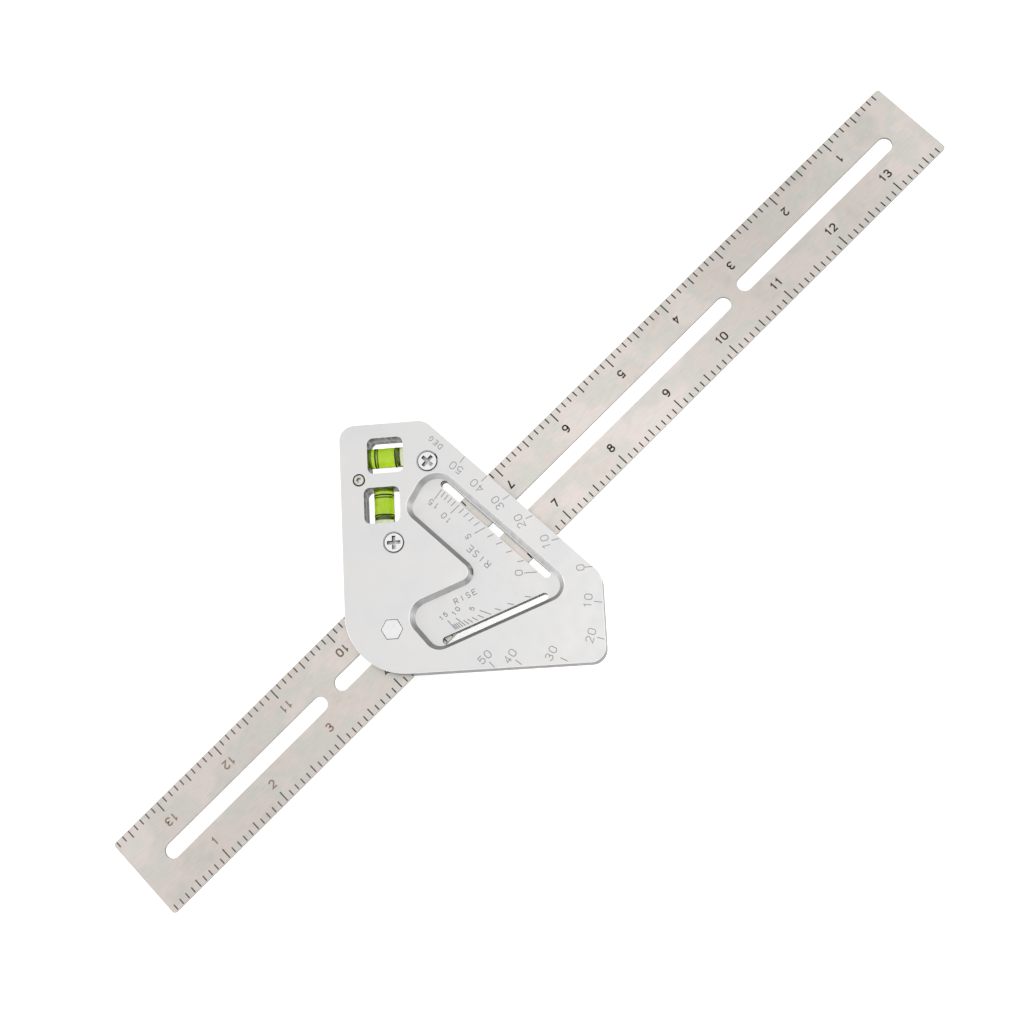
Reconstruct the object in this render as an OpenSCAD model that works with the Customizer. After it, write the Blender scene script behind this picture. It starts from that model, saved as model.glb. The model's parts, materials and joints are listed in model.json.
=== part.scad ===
// Sliding bevel: a slotted steel rule blade clamped between the two plates of a triangular stock,
// which carries two spirit vials and a degree scale. The blade swings about one bolt, slides past
// it on its long slot, and is locked by a knob behind the stock.
//
// Frame: origin on the pivot axis, at the stock's front face. +Z points out of the front face,
// +X runs along the blade as it is set here. The stock is drawn in its own square directions
// (x along its bottom fence, y along its left fence) and then turned by the set angle.

/* [Setting] */
// Angle between the blade and the stock's bottom fence, degrees
set_angle = 41.5; // [-50:0.5:50]
// Length of blade to the left of the pivot
tail_len = 111.6; // [90:0.2:240]

/* [Blade] */
// Length of the blade
blade_len = 350; // [340:1:420]
// Width of the blade
blade_w = 30; // [28:0.5:32]
// Thickness of the blade
blade_t = 1.2; // [1:0.1:1.5]
// Radius of the blade's four corners
blade_corner_r = 1; // [0.5:0.1:3]
// Width of the three slots
slot_w = 5.2; // [5:0.1:6]
// Length of the middle slot, end to end
mid_slot_len = 179; // [120:1:184]
// Length of each end slot, end to end
end_slot_len = 70.4; // [50:0.2:74]
// Steel left between the middle slot and each end slot
slot_bridge = 4.8; // [3:0.1:8]

/* [Stock] */
// Distance from the pivot to the left fence
left_fence_off = 15.3; // [15:0.1:16.5]
// Distance from the pivot to the bottom fence
bottom_fence_off = 14.4; // [14:0.1:16]
// Distance from the pivot to the line each fence ends at
fence_end = 67.7; // [67:0.1:74]
// Distance of the sloping edge's line from the pivot, measured along a fence direction
slope_reach = 80.9; // [80:0.1:84]
// Thickness of the front plate, and of the back plate
plate_t = 4; // [3.8:0.1:5]
// Gap between the plates
gap_t = 1.3; // [1.25:0.01:1.4]
// Radius of the corner beside the pivot
pivot_corner_r = 20; // [16:0.5:21]
// Radius of the two corners at the far ends of the fences
fence_end_r = 5; // [3:0.5:6]
// Radius of the two corners at the ends of the sloping edge
slope_end_r = 6; // [3:0.5:8]
// Furthest reading of the degree scale, each way
swing_limit = 50; // [46:1:50]

/* [Pocket] */
// Depth of the curved pocket in each plate
pocket_depth = 2.6; // [2:0.1:2.8]
// Width of the pocket's sloping wall, seen from the front
pocket_slope = 1.5; // [1:0.1:1.8]
// Width of the two long slots through the pocket's floor
sight_w = 2.5; // [2:0.1:2.8]

/* [Vials] */
// Outer diameter of a vial
vial_d = 6.5; // [6:0.1:6.8]
// Length of a vial
vial_len = 16.8; // [15.4:0.2:17]
// Wall thickness of a vial
vial_wall = 0.7; // [0.5:0.05:1]
// Side of each square window
window_w = 11.8; // [11:0.1:12]
// Distance between the middles of a vial's two rings
ring_spacing = 6.6; // [6:0.1:7]

/* [Fasteners] */
// Diameter of the pivot bolt's shank
bolt_d = 4; // [3.8:0.1:4.2]
// Width of the pivot bolt's hexagonal head, across its flats
bolt_head_af = 6.2; // [5.5:0.1:7]
// Head diameter of the countersunk screws
cover_head_d = 6.6; // [6:0.1:6.7]
// Thread diameter of the countersunk screws
cover_screw_d = 3; // [2.6:0.1:3]
// Head diameter of the small socket-head screw
cap_head_d = 3.8; // [3.4:0.1:4]

/* [Clamp knob] */
// Diameter of the knob
knob_d = 22; // [18:0.5:24]
// Height of the knob
knob_h = 10; // [9:0.5:14]
// Number of grip flutes around the knob
flute_count = 18; // [12:1:24]
// Distance that one full turn loosens the knob by
loosen_lift = 0.7; // [0.5:0.05:1]

/* [Hidden] */
$fn = 96;
arc_steps = 14;       // straight steps in each rounded corner of an outline
cut = 1;              // how far a cutting shape runs past the face it cuts

// Running and assembly clearances
run_gap = 0.05;       // radial gap of a turning or sliding fit
seat_gap = 0.03;      // gap around a piece that sits fixed in its seat

// Levels, all measured down from the front face
gap_bottom = -plate_t - gap_t;
back_face = -2 * plate_t - gap_t;
mid_level = -plate_t - gap_t / 2;

// Stock outline
stock_corners = [
    [-left_fence_off, -bottom_fence_off, pivot_corner_r],
    [fence_end, -bottom_fence_off, fence_end_r],
    [fence_end, slope_reach - fence_end, slope_end_r],
    [slope_reach - fence_end, fence_end, slope_end_r],
    [-left_fence_off, fence_end, fence_end_r]
];

// Pocket outline: two arms 18 wide, one beside the sloping edge and one at 20.5 degrees
pocket_corners = [
    [1.6, 6.2, 6.4], [13.4, -8.6, 5.5], [60.2, 8.9, 5.6],
    [14.8, 54.3, 7.5], [4.7, 38.5, 5.4], [27.5, 15.9, 2.9]
];
// Middle lines of the two sight slots, each from the centre of one round end to the other
upper_sight = [[18.5, 46.4], [50.1, 14.8]];
lower_sight = [[17, -4.4], [49, 7.55]];

// Window and vial middles; the upper vial lies along x and the lower one along y
upper_window = [-0.2, 57];
lower_window = [-1.8, 40.6];
upper_vial_at = [-0.5, 57];
lower_vial_at = [-1.8, 41];
window_r = 2;

// Fastener places, cross-recess turns and details
cover_screws_at = [[13.6, 54], [1.6, 28]];
cover_cross_turns = [45, 0];
cover_seat_gap = 0.25;                    // dark ring seen around each countersunk head
cover_rim_depth = 0.35;                   // straight rim of the head above its cone
cross_reach = 2.2;                         // half the length of the cross recess
cross_w = 1.15;
cross_depth = 1.5;
screw_end_gap = 0.3;                      // how far each screw stops short of the back face
cap_screw_at = [-9.1, 49.3];
cap_thread_d = 2;
cap_head_h = 2;
cap_socket_af = 1.5;
cap_socket_depth = 1;
cap_seat_gap = 0.15;
bolt_head_h = 2.5;
hex_ratio = 2 / sqrt(3);                  // across corners over across flats

// Blade slots, as [start, length] measured from the blade's left end
mid_slot_start = (blade_len - mid_slot_len) / 2;
blade_slots = [
    [mid_slot_start - slot_bridge - end_slot_len, end_slot_len],
    [mid_slot_start, mid_slot_len],
    [mid_slot_start + mid_slot_len + slot_bridge, end_slot_len]
];

// Slot bush: a flat-sided block that turns on the bolt and slides in the middle slot
bush_w = slot_w - 2 * run_gap;
bush_len = 8;
bush_t = blade_t - 0.1;

// Clamp stack behind the back plate
washer_d = 13;
washer_t = 1;
spring_d = 9;
spring_t = 1;
spring_slit = 1;
knob_top = back_face - washer_t - spring_t;
knob_base = knob_top - knob_h;
knob_skin = 1.6;                          // plastic left over the end of the insert
insert_d = 7.5;
insert_flange_d = 9.5;
insert_flange_t = 1;
insert_base = knob_base + knob_skin;
bolt_end = insert_base + 1 + loosen_lift;
knob_edge_h = 1.5;                        // height of the knob's sloping outer rim
flute_r = 1.3;

// Vial details
vial_bore_d = vial_d - 2 * vial_wall;
plug_len = 1;
bubble_d = 3.8;
bubble_len = 4.2;
bubble_gap = 0.1;                         // film of fluid between the bubble and the tube or plug
ring_w = 0.35;
ring_t = 0.06;
bubble_shift = vial_len / 2 - plug_len - bubble_gap - bubble_len / 2;

function unit(v) = v / norm(v);

// Points of one rounded corner at c, between its neighbours before and after
function corner_arc(before, c, after, r) =
    let (
        a = unit(before - c),
        b = unit(after - c),
        half = acos(a * b) / 2,
        centre = c + unit(a + b) * r / sin(half),
        from = c + a * r / tan(half) - centre,
        turn = cross(c - before, after - c) > 0 ? 1 : -1,
        start = atan2(from.y, from.x)
    )
    [for (i = [0 : arc_steps])
        let (t = start + turn * (180 - 2 * half) * i / arc_steps)
        centre + r * [cos(t), sin(t)]];

// Points of a closed outline whose corners are given as [x, y, radius]
function rounded(corners) =
    let (n = len(corners), at = [for (c = corners) [c.x, c.y]])
    [for (i = [0 : n - 1])
        each corner_arc(at[(i + n - 1) % n], at[i], at[(i + 1) % n], corners[i][2])];

// The same corners moved inwards by d, with each rounding kept concentric
function inset(corners, d) =
    let (n = len(corners), at = [for (c = corners) [c.x, c.y]])
    [for (i = [0 : n - 1])
        let (
            before = at[(i + n - 1) % n],
            after = at[(i + 1) % n],
            a = unit(before - at[i]),
            b = unit(after - at[i]),
            side = cross(at[i] - before, after - at[i]) > 0 ? 1 : -1,
            moved = at[i] + side * unit(a + b) * d / sin(acos(a * b) / 2)
        )
        [moved.x, moved.y, corners[i][2] - side * d]];

// Points of a slanting slot with round ends, from one end's centre to the other's
function slot_points(from, to, w) =
    let (run = atan2(to.y - from.y, to.x - from.x), steps = 2 * arc_steps)
    [for (end = [[to, run - 90], [from, run + 90]]) for (i = [0 : steps])
        let (t = end[1] + 180 * i / steps)
        end[0] + w / 2 * [cos(t), sin(t)]];

// Slot along x with true round ends, from left to right tip
module slot_outline(left, right, w) {
    for (x = [left + w / 2, right - w / 2]) translate([x, 0]) circle(d = w);
    translate([left + w / 2, -w / 2]) square([right - left - w, w]);
}

// Square with rounded corners, centred
module window_outline() {
    side = window_w / 2;
    polygon(rounded([for (q = [[-1, -1], [1, -1], [1, 1], [-1, 1]]) [q.x * side, q.y * side, window_r]]));
}

// Places children in the stock's square directions
module in_stock() {
    rotate(-set_angle) children();
}

// Round bar or bore of a vial, along x and centred
module vial_rod(d, l) {
    rotate([0, 90, 0]) cylinder(d = d, h = l, center = true);
}

module at_upper_vial() {
    translate([upper_vial_at.x, upper_vial_at.y, mid_level]) children();
}

module at_lower_vial() {
    translate([lower_vial_at.x, lower_vial_at.y, mid_level]) rotate(-90) children();
}

// Cutting shape of the curved pocket, open upwards at z = 0
module pocket_cutter() {
    rim = rounded(pocket_corners);
    foot = rounded(inset(pocket_corners, pocket_slope));
    n = len(rim);
    levels = [[foot, -pocket_depth], [rim, 0], [rim, cut]];
    polyhedron(
        points = [for (level = levels) for (p = level[0]) [p.x, p.y, level[1]]],
        faces = [
            [for (i = [0 : n - 1]) i],
            [for (i = [0 : n - 1]) 3 * n - 1 - i],
            for (k = [0 : 1]) for (i = [0 : n - 1])
                let (j = (i + 1) % n)
                [k * n + j, k * n + i, (k + 1) * n + i, (k + 1) * n + j]
        ]
    );
}

// Holes that run through every layer of the stock
module sight_slots(extra = 0) {
    for (sight = [upper_sight, lower_sight]) polygon(slot_points(sight[0], sight[1], sight_w + extra));
}

module vial_windows() {
    for (place = [upper_window, lower_window]) translate(place) window_outline();
}

module vial_seats() {
    at_upper_vial() vial_rod(vial_d + 2 * seat_gap, vial_len + 2 * seat_gap);
    at_lower_vial() vial_rod(vial_d + 2 * seat_gap, vial_len + 2 * seat_gap);
}

// One plate with its outer face up at z = 0
module plate_blank() {
    difference() {
        translate([0, 0, -plate_t]) linear_extrude(plate_t) polygon(rounded(stock_corners));
        pocket_cutter();
        translate([0, 0, -plate_t - cut]) linear_extrude(plate_t + 2 * cut) {
            sight_slots();
            vial_windows();
        }
        translate([0, 0, -plate_t - cut]) cylinder(d = bolt_d + 2 * run_gap, h = plate_t + 2 * cut);
        vial_seats();
    }
}

// Countersunk seat of a cover screw, with its clearance hole
module cover_screw_seat() {
    head_r = cover_head_d / 2;
    hole_r = cover_screw_d / 2 + seat_gap;
    translate([0, 0, -cover_rim_depth]) cylinder(r = head_r + cover_seat_gap, h = cover_rim_depth + cut);
    translate([0, 0, -cover_rim_depth - head_r + hole_r])
        cylinder(r1 = hole_r, r2 = head_r, h = head_r - hole_r);
    translate([0, 0, -plate_t - cut]) cylinder(r = hole_r, h = plate_t + 2 * cut);
}

// Front plate: the blank with a hexagonal seat for the bolt and seats for the screws
module front_plate() {
    color("gainsboro") in_stock() difference() {
        plate_blank();
        translate([0, 0, -bolt_head_h])
            cylinder(d = (bolt_head_af + 2 * seat_gap) * hex_ratio, h = bolt_head_h + cut, $fn = 6);
        for (place = cover_screws_at) translate(place) cover_screw_seat();
        translate(cap_screw_at) {
            translate([0, 0, -cap_head_h])
                cylinder(d = cap_head_d + 2 * cap_seat_gap, h = cap_head_h + cut);
            translate([0, 0, -plate_t - cut])
                cylinder(d = cap_thread_d + 2 * seat_gap, h = plate_t + 2 * cut);
        }
    }
}

// Back plate: the same blank turned over, with tapped holes where the screws end
module back_plate() {
    color("silver") in_stock() difference() {
        translate([0, 0, back_face]) mirror([0, 0, 1]) plate_blank();
        for (place = cover_screws_at) translate([place.x, place.y, back_face - cut])
            cylinder(d = cover_screw_d + 2 * seat_gap, h = plate_t + 2 * cut);
        translate([cap_screw_at.x, cap_screw_at.y, back_face - cut])
            cylinder(d = cap_thread_d + 2 * seat_gap, h = plate_t + 2 * cut);
    }
}

// Spacer: a wedge that keeps the plates apart and stops the blade at both ends of its swing
module spacer_plate() {
    apex = (blade_w / 2 + run_gap) / cos(swing_limit);
    reach = slope_reach;
    rise = reach * tan(swing_limit);
    color("darkgray") in_stock() difference() {
        translate([0, 0, gap_bottom]) linear_extrude(gap_t) difference() {
            intersection() {
                polygon(rounded(stock_corners));
                polygon([[0, apex], [reach, apex + rise], [-reach, apex + rise]]);
            }
            vial_windows();
            sight_slots(2 * run_gap);
            for (place = cover_screws_at) translate(place) circle(d = cover_screw_d + 2 * seat_gap);
            translate(cap_screw_at) circle(d = cap_thread_d + 2 * seat_gap);
        }
        vial_seats();
    }
}

module blade_outline() {
    polygon(rounded([for (q = [[0, -1], [1, -1], [1, 1], [0, 1]])
        [q.x * blade_len, q.y * blade_w / 2, blade_corner_r]]));
}

// Steel rule blade, which lies along x with its middle slot over the pivot
module blade() {
    color("rosybrown") translate([-tail_len, 0, mid_level - blade_t / 2])
        linear_extrude(blade_t) difference() {
            blade_outline();
            for (s = blade_slots) slot_outline(s[0], s[0] + s[1], slot_w);
        }
}

module slot_bush() {
    color("goldenrod") translate([0, 0, mid_level - bush_t / 2]) linear_extrude(bush_t) difference() {
        slot_outline(-bush_len / 2, bush_len / 2, bush_w);
        circle(d = bolt_d + 2 * run_gap);
    }
}

// Pivot bolt, whose hexagonal head sits flush in the front plate and cannot turn
module pivot_bolt() {
    color("white") in_stock() {
        translate([0, 0, -bolt_head_h]) cylinder(d = bolt_head_af * hex_ratio, h = bolt_head_h, $fn = 6);
        translate([0, 0, bolt_end]) cylinder(d = bolt_d, h = -bolt_head_h - bolt_end);
    }
}

module clamp_washer() {
    color("silver") translate([0, 0, back_face - washer_t]) difference() {
        cylinder(d = washer_d, h = washer_t);
        translate([0, 0, -cut]) cylinder(d = bolt_d + 2 * run_gap, h = washer_t + 2 * cut);
    }
}

// Split spring washer, shown pressed flat as it is when the knob is tight
module spring_washer() {
    color("dimgray") translate([0, 0, back_face - washer_t - spring_t]) difference() {
        cylinder(d = spring_d, h = spring_t);
        translate([0, 0, -cut]) cylinder(d = bolt_d + 4 * run_gap, h = spring_t + 2 * cut);
        translate([0, -spring_slit / 2, -cut]) cube([spring_d, spring_slit, spring_t + 2 * cut]);
    }
}

// Clamp knob: a fluted plastic knob with a blind hole for its threaded insert
module knob() {
    rim_r = knob_d / 2;
    color([0.1, 0.1, 0.11]) translate([0, 0, knob_base]) difference() {
        union() {
            cylinder(r1 = rim_r - knob_edge_h, r2 = rim_r, h = knob_edge_h);
            translate([0, 0, knob_edge_h]) cylinder(r = rim_r, h = knob_h - knob_edge_h);
        }
        for (i = [0 : flute_count - 1]) rotate(360 * i / flute_count)
            translate([rim_r + flute_r / 2, 0, -cut]) cylinder(r = flute_r, h = knob_h + 2 * cut, $fn = 32);
        translate([0, 0, knob_skin]) cylinder(d = insert_d + 2 * seat_gap, h = knob_h);
        translate([0, 0, knob_h - insert_flange_t])
            cylinder(d = insert_flange_d + 2 * seat_gap, h = 2 * insert_flange_t);
    }
}

// Brass insert, whose threaded hole is drawn as a plain bore around the bolt
module knob_insert() {
    color("gold") translate([0, 0, insert_base]) difference() {
        union() {
            cylinder(d = insert_d, h = knob_top - insert_base);
            translate([0, 0, knob_top - insert_base - insert_flange_t])
                cylinder(d = insert_flange_d, h = insert_flange_t);
        }
        translate([0, 0, -cut]) cylinder(d = bolt_d + 2 * run_gap, h = knob_h + 2 * cut);
    }
}

// One countersunk screw with its head flush at z = 0
module cover_screw(turn) {
    head_r = cover_head_d / 2;
    thread_r = cover_screw_d / 2;
    cone_h = head_r - thread_r;
    length = plate_t * 2 + gap_t - screw_end_gap;
    difference() {
        union() {
            translate([0, 0, -cover_rim_depth]) cylinder(r = head_r, h = cover_rim_depth);
            translate([0, 0, -cover_rim_depth - cone_h]) cylinder(r1 = thread_r, r2 = head_r, h = cone_h);
            translate([0, 0, -length]) cylinder(r = thread_r, h = length - cover_rim_depth - cone_h);
        }
        for (arm = [0, 90]) rotate(turn + arm)
            translate([-cross_reach, -cross_w / 2, -cross_depth])
                cube([2 * cross_reach, cross_w, cross_depth + cut]);
    }
}

// The two countersunk screws that hold the stock together
module cover_screws() {
    color("white") in_stock() for (i = [0 : len(cover_screws_at) - 1])
        translate(cover_screws_at[i]) cover_screw(cover_cross_turns[i]);
}

// The small socket-head screw at the stock's left edge
module cap_screw() {
    length = plate_t * 2 + gap_t - screw_end_gap;
    color("darkkhaki") in_stock() translate(cap_screw_at) difference() {
        union() {
            translate([0, 0, -cap_head_h]) cylinder(d = cap_head_d, h = cap_head_h);
            translate([0, 0, -length]) cylinder(d = cap_thread_d, h = length - cap_head_h);
        }
        translate([0, 0, -cap_socket_depth])
            cylinder(d = cap_socket_af * hex_ratio, h = cap_socket_depth + cut, $fn = 6);
    }
}

// Clear tube of a vial, open at both ends
module vial_tube() {
    difference() {
        vial_rod(vial_d, vial_len);
        vial_rod(vial_bore_d, vial_len + 2 * cut);
    }
}

// Rounded air bubble, which rests at the tube's +x end; its own ends are half spheres
module vial_bubble() {
    end = (bubble_len - bubble_d) / 2;
    translate([bubble_shift, 0, (vial_bore_d - bubble_d) / 2 - bubble_gap]) {
        vial_rod(bubble_d, 2 * end);
        for (x = [-end, end]) translate([x, 0, 0]) sphere(d = bubble_d);
    }
}

// Fluid that fills the tube between its plugs, less the bubble
module vial_fluid() {
    difference() {
        vial_rod(vial_bore_d, vial_len - 2 * plug_len);
        vial_bubble();
    }
}

// Two thin printed rings around the tube
module vial_rings() {
    for (side = [-1, 1]) translate([side * ring_spacing / 2, 0, 0]) difference() {
        vial_rod(vial_d + 2 * ring_t, ring_w);
        vial_rod(vial_d, 2 * ring_w);
    }
}

// The two plugs that seal a tube's ends
module vial_plugs() {
    for (side = [-1, 1]) translate([side * (vial_len - plug_len) / 2, 0, 0]) vial_rod(vial_bore_d, plug_len);
}

module upper_vial() { color("honeydew") in_stock() at_upper_vial() vial_tube(); }
module upper_fluid() { color("greenyellow") in_stock() at_upper_vial() vial_fluid(); }
module upper_bubble() { color("lightyellow") in_stock() at_upper_vial() vial_bubble(); }
module upper_rings() { color("black") in_stock() at_upper_vial() vial_rings(); }
module upper_plugs() { color("palegreen") in_stock() at_upper_vial() vial_plugs(); }
module lower_vial() { color("honeydew") in_stock() at_lower_vial() vial_tube(); }
module lower_fluid() { color("greenyellow") in_stock() at_lower_vial() vial_fluid(); }
module lower_bubble() { color("lightyellow") in_stock() at_lower_vial() vial_bubble(); }
module lower_rings() { color("black") in_stock() at_lower_vial() vial_rings(); }
module lower_plugs() { color("palegreen") in_stock() at_lower_vial() vial_plugs(); }

front_plate();
back_plate();
spacer_plate();
blade();
slot_bush();
pivot_bolt();
clamp_washer();
spring_washer();
knob();
knob_insert();
cover_screws();
cap_screw();
upper_vial();
upper_fluid();
upper_bubble();
upper_rings();
upper_plugs();
lower_vial();
lower_fluid();
lower_bubble();
lower_rings();
lower_plugs();
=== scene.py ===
"""Looks, camera and light of the sliding bevel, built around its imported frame.

Lengths are in metres in the frame's own axes: +X along the blade, +Z out of the front face, origin on
the pivot axis. Names that end in _MM are millimetres. The stock's own square directions, u along its
bottom fence and v along its left fence, are turned from X and Y by the angle the blade is set at.
"""

import json
import math

import bmesh
import bpy
from mathutils import Matrix, Vector

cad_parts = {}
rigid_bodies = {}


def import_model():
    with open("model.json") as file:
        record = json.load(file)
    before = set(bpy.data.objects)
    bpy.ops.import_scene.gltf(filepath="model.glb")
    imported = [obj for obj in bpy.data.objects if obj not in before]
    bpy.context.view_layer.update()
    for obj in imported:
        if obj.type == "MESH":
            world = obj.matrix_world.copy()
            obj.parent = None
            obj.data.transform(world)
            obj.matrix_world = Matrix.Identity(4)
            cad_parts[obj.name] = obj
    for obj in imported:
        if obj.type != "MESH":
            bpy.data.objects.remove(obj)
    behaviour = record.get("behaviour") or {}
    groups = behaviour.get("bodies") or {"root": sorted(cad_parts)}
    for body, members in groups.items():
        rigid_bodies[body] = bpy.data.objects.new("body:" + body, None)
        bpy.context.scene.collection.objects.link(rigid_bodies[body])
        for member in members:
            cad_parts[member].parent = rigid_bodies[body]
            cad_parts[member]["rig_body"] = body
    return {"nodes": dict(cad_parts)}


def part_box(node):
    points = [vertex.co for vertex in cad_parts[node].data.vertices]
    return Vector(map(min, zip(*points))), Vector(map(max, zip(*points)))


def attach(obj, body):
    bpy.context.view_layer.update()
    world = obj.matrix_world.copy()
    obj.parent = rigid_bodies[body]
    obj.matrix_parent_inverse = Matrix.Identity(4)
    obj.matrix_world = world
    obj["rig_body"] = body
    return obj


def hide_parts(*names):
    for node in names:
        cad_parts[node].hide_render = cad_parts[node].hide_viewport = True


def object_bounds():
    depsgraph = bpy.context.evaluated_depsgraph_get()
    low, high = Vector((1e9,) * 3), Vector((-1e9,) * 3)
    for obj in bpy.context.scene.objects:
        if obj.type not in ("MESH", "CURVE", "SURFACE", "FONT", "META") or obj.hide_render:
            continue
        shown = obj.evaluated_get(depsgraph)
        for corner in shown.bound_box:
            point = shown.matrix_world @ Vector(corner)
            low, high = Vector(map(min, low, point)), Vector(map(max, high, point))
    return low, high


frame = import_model()
cad_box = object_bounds()
nodes = frame["nodes"]

MM = 0.001
SAME_POINT = 1e-7                # points nearer than this are one
NEAR = 1e-6                      # lengths under this count as nothing
SET_ANGLE = 41.5                 # degrees from the bottom fence up to the blade

# ------------------------------------------------------------------ places taken from the frame

blade_low, blade_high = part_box("blade")
BLADE_HALF_W = blade_high.y
BLADE_FACE = blade_high.z
FRONT_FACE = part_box("front_plate")[1].z
BACK_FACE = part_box("back_plate")[0].z
LOWEST = cad_box[0].z

# ------------------------------------------------------------------ dimensions of marks and details

POCKET_DEPTH_MM = 2.6
MARK_PROUD = 0.012 * MM          # how far an etched mark stands above its face
MARK_SUNK = 0.010 * MM           # how far its underside lies below the face

INCH = 25.4 * MM
RULE_TICK_MM = {10: 4.0, 5: 3.1, 1: 2.3}
RULE_TICK_W = 0.44 * MM
RULE_INSET = 0.25 * MM           # from the blade's edge to the near end of a tick
RULE_SHIFT = -0.7 * MM           # how far both scales are printed out of place along X
RULE_DIGIT_H = 3.0 * MM
RULE_DIGIT_W = 0.54 * MM
RULE_DIGIT_GAP = -0.06           # the digits of a two-figure number stand close together
RULE_DIGIT_OFF = 7.5 * MM        # from the blade's edge to the middle of a digit

SLOPE_REACH_MM = 80.9            # u + v along the stock's sloping edge
FENCE_END_MM = 67.7              # from the pivot to the stock's right and top ends
BOTTOM_FENCE_MM = 14.4           # from the pivot to the bottom fence
SCALE_LAST = 50                  # the degree scale runs this far to both sides of 0
SCALE_EVERY = 10
SCALE_TICK_W = 0.28 * MM
SCALE_DIGIT_H = 2.7 * MM
SCALE_DIGIT_W = 0.27 * MM
SCALE_TURN = 0.7                 # degrees that the row of marks is turned by at its middle
SCALE_SHRINK = 0.009             # part by which the row is closed up
SCALE_TICK_MM = (0.4, 2.85)      # from the stock's edge to the near and far end of a tick
SCALE_LABEL_MM = {0: 4.0, -40: 5.6, -30: 7.5}
SCALE_LABEL_USUAL_MM = 4.9
SCALE_BACK_MM = {0: -0.3, -40: 0.65, -30: 1.4}    # ticks set further back beside a rounded corner
SCALE_DIGIT_GAP = 0.26

UPPER_SIGHT_LINE_MM = 64.9       # u + v along the middle of the upper sight slot
LOWER_SIGHT_MM = ((17.0, -4.4), (49.0, 7.55))
SIGHT_HALF_W_MM = 1.25
RISE_RUN = 12.0                  # the lower pocket scale gives rise over a run of twelve
RISE_LAST = 15
RISE_STEP = 5                    # every fifth tick is longer
RISE_LONG_MM = 4.0
RISE_SHORT_MM = 2.1
RISE_TANGENTS = (0.014, 0.471, 0.848, 1.209)      # of the angles that the upper scale reads 0, 5, 10, 15
RISE_DIGIT_MM = {1: 2.1, -1: 1.7}
RISE_ZERO_MM = 2.6
RISE_DIGIT_GAP = 0.34
RISE_LABELS_AT = {
    (1, 0): (41.2, 15.8), (1, 5): (25.5, 28.7), (1, 10): (18.6, 35.3), (1, 15): (14.7, 40.2),
    (-1, 5): (25.6, 5.3), (-1, 10): (20.4, 4.8), (-1, 15): (16.3, 3.4),
}

# Words, each with its centre and way up in the stock's directions, its height in mm and its gaps.
FACE_WORD = ("DEG", (16.6, 59.9), (-1, -1), 1.9, 0.34)
POCKET_WORDS = (("RISE", (28.6, 22.0), (-1, -1), 2.4, 0.4), ("RISE", (23.6, 9.3), (-0.4, 0.915), 2.0, 0.4))

# ------------------------------------------------------------------ broken edges, screws and vials

FLAT_WITHIN = 0.5                # faces that meet at fewer degrees than this become one
SHARP_FROM = 25                  # edges that turn by more degrees than this are broken or rimmed
SMOOTH_BELOW = 35                # faces that meet at fewer degrees than this are shaded smooth
BROKEN_EDGE_MM = {
    "front_plate": 0.16, "back_plate": 0.16, "spacer_plate": 0.0, "blade": 0.08, "pivot_bolt": 0.12,
    "cover_screws": 0.30, "cap_screw": 0.30, "slot_bush": 0.05, "clamp_washer": 0.12,
    "spring_washer": 0.08, "knob": 0.18, "knob_insert": 0.08,
}

# Each screw's centre in the stock's directions, then the radius of its seat.
SCREW_SEATS_MM = {
    "cover_screws": (((13.6, 54.0), 4.2), ((1.6, 28.0), 4.2)),
    "cap_screw": (((-9.1, 49.3), 2.5),),
}
SCREW_RIM_FROM_MM = {"cover_screws": 2.8, "cap_screw": 1.4}    # edges further out belong to the rim
RECESS_WALL_TO_MM = 1.6          # how deep the shaded wall of a driver recess reaches
RECESS_FLOOR_FROM_MM = 0.3

WINDOW_ZONE_MM = (-8.0, 8.0, 33.0, 65.0)       # u and v limits around both vial windows
POCKET_ZONE_MM = (0.0, 62.0, -9.0, 57.0)

TURN_STEPS = 64
VIAL_WALL = 0.7 * MM
VIAL_EASE = 0.15 * MM            # the barrel's broken end edges
BUBBLE_LEN = 4.2 * MM
AIR_DOME = 1.3 * MM              # how far the bubble's rounded end bulges into the fluid
AIR_DOME_STEPS = 12
AIR_FILL = 0.98                  # the bubble's width over the tube's bore
MENISCUS_FROM = 0.80             # outside this part of the bore the bubble's end is painted dark, for the shade it shows
FILM = 0.03 * MM
PLUG_LEN = 1.0 * MM
RING_GAP = 6.6 * MM
RING_W = 0.50 * MM
RING_PROUD = 0.06 * MM
RING_SUNK = 0.02 * MM

# ------------------------------------------------------------------ stage, light and camera

FLOOR_HALF = 3.0
FLOOR_GLOW = 0.45
WORLD_STRENGTH = 0.925
CAMERA_AT_MM = (27.7, -105.9, 494.0)
CAMERA_TURN = (10.64, 6.41, -44.46)            # degrees about X, Y and Z
LENS = 55.55
SENSOR = 36.0


def stock_point(u_mm, v_mm):
    """X and Y of a point given in the stock's own directions."""
    a = math.radians(SET_ANGLE)
    c, s = math.cos(a), math.sin(a)
    return Vector(((u_mm * c + v_mm * s) * MM, (-u_mm * s + v_mm * c) * MM))


def stock_dir(u, v):
    """The unit direction in X and Y of one given in the stock's own directions."""
    return stock_point(u, v).normalized()


# ------------------------------------------------------------------ materials

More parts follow.
